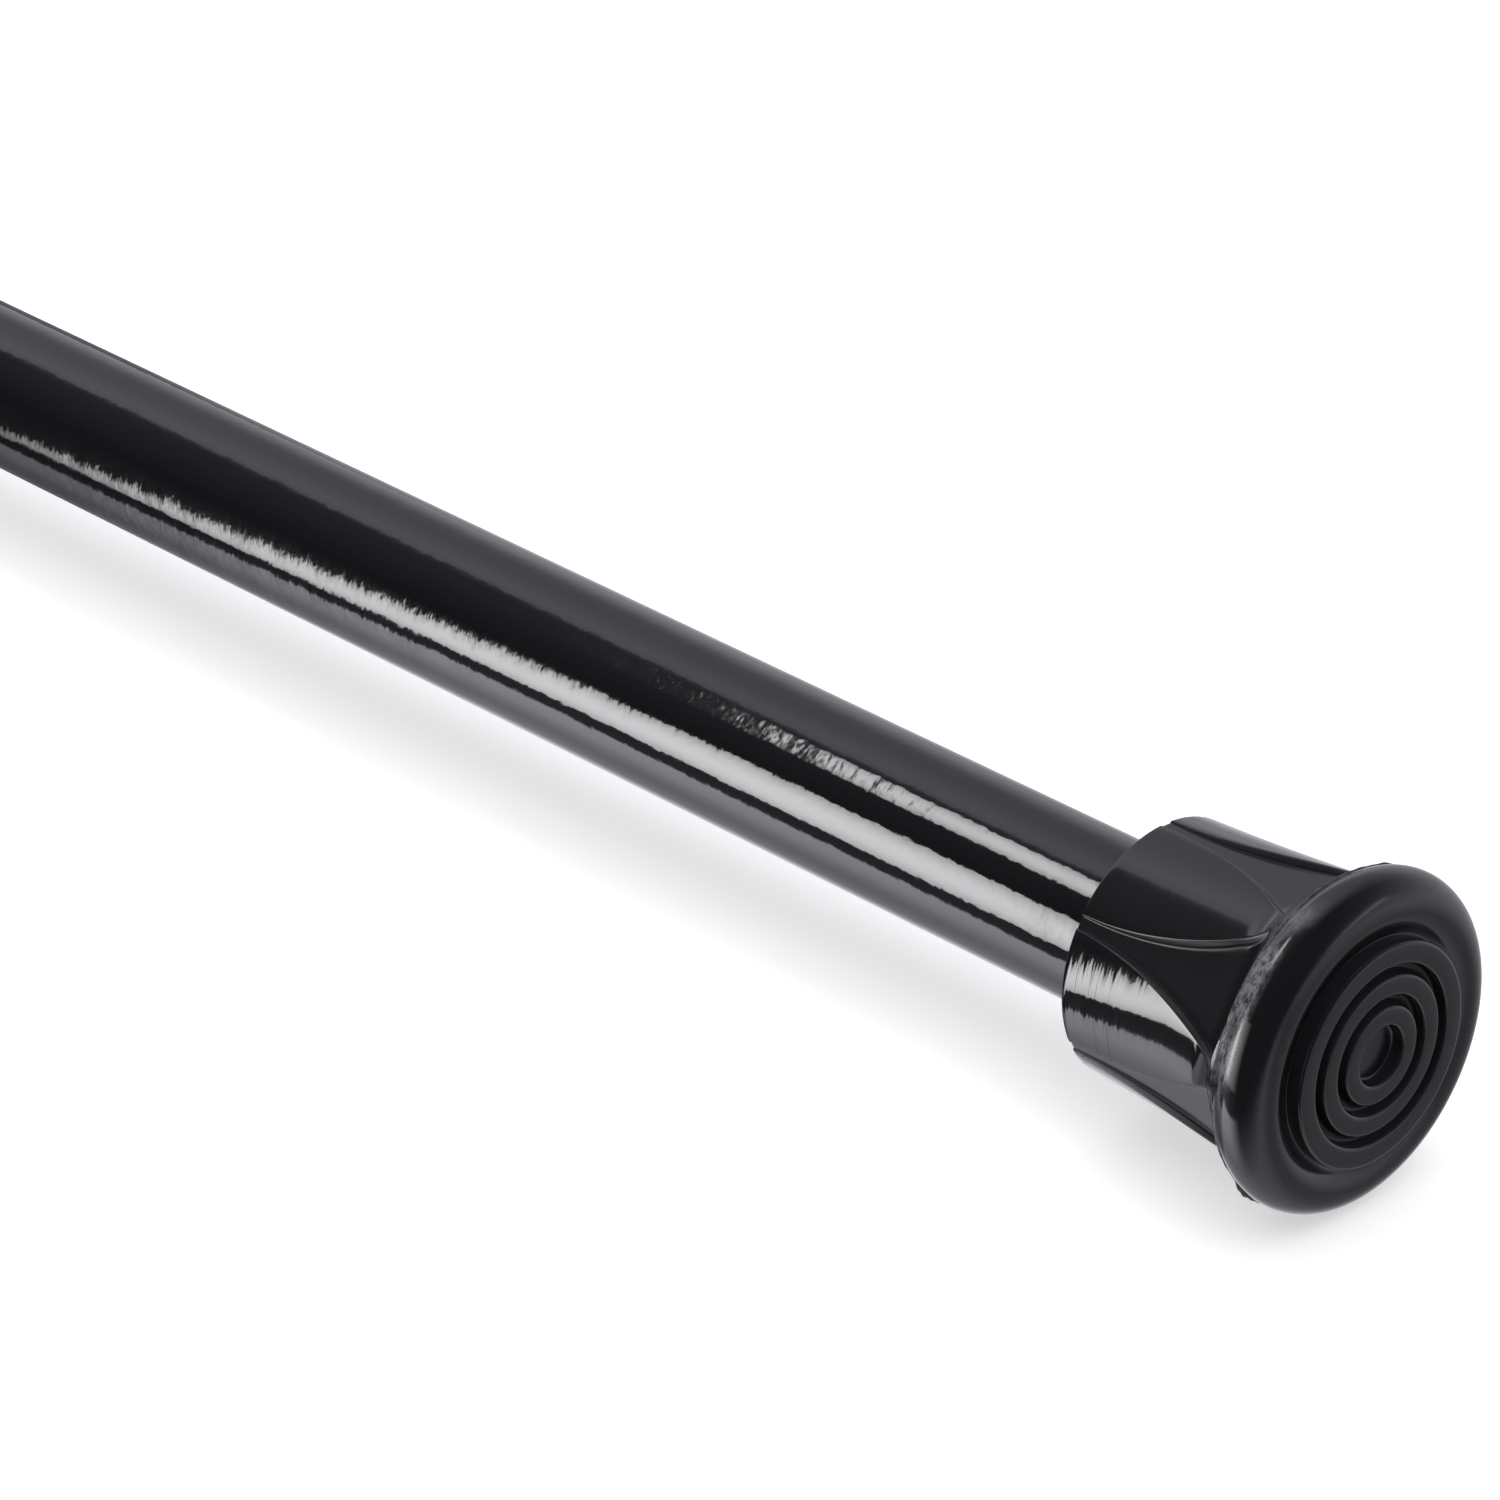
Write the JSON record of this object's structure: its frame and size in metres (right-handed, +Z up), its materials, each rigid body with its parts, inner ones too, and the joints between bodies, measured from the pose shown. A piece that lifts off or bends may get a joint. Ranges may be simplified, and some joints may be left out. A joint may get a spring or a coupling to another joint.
{
  "type": "bed cargo bar",
  "caption": "Telescoping truck-bed cargo bar: gloss black round tubes, a spring-loaded twist lock inside, and a flanged rubber foot with a ringed tread at each end.",
  "frame": {"origin": "centre of the outer foot's tread, in the plane of its ring tops", "axes": "+X out of the outer foot along the bar's axis, +Z up; the bar runs towards -X"},
  "size_m": [1.1, 0.0512, 0.0512],
  "materials": {
    "black_gloss_paint": "gloss",
    "black_rubber": "satin",
    "black_plastic": "fine grain",
    "natural_nylon": "satin",
    "brass": "turned",
    "ring_rubber": "satin",
    "spring_steel": "oiled",
    "zinc_steel": "zinc plated"
  },
  "bodies": {
    "outer_assembly": {"outer_tube": "black_gloss_paint", "outer_foot": "black_rubber", "outer_foot_washer": "zinc_steel", "mouth_collar": "black_plastic"},
    "expander": {"lock_sleeve": "natural_nylon", "drag_ring": "ring_rubber"},
    "cone": {"lock_cone": "brass"},
    "drive_core": {"drive_rod": "zinc_steel", "stop_nut": "zinc_steel", "thrust_washer": "zinc_steel", "spring_seat": "zinc_steel", "seat_pin": "zinc_steel", "spring": "spring_steel", "retaining_washer": "zinc_steel", "retaining_clip": "spring_steel"},
    "inner_assembly": {"inner_tube": "black_gloss_paint", "tube_plug": "natural_nylon", "plug_rivets": "zinc_steel", "guide_ring": "natural_nylon", "inner_foot": "black_rubber", "inner_foot_washer": "zinc_steel"}
  },
  "joints": [
    {"name": "telescope", "type": "slide", "parent": "outer_assembly", "child": "expander", "axis": [-1, 0, 0], "range_m": [-0.084, 0.653]},
    {"name": "twist_lock", "type": "hinge", "parent": "expander", "child": "drive_core", "pos_m": [-0.165, 0, 0], "axis": [1, 0, 0], "range_deg": [0, 270]},
    {"name": "cone_travel", "type": "slide", "parent": "expander", "child": "cone", "axis": [-1, 0, 0], "range_m": [0, 0.00451]},
    {"name": "spring_travel", "type": "slide", "parent": "drive_core", "child": "inner_assembly", "axis": [1, 0, 0], "range_m": [0, 0.025], "stiffness_N_per_m": 4000, "springref_m": -0.01, "deforming": ["spring"]}
  ],
  "couplings": [
    {"joint": "cone_travel", "follows": "twist_lock", "m_per_rad": 0.00095493}
  ]
}
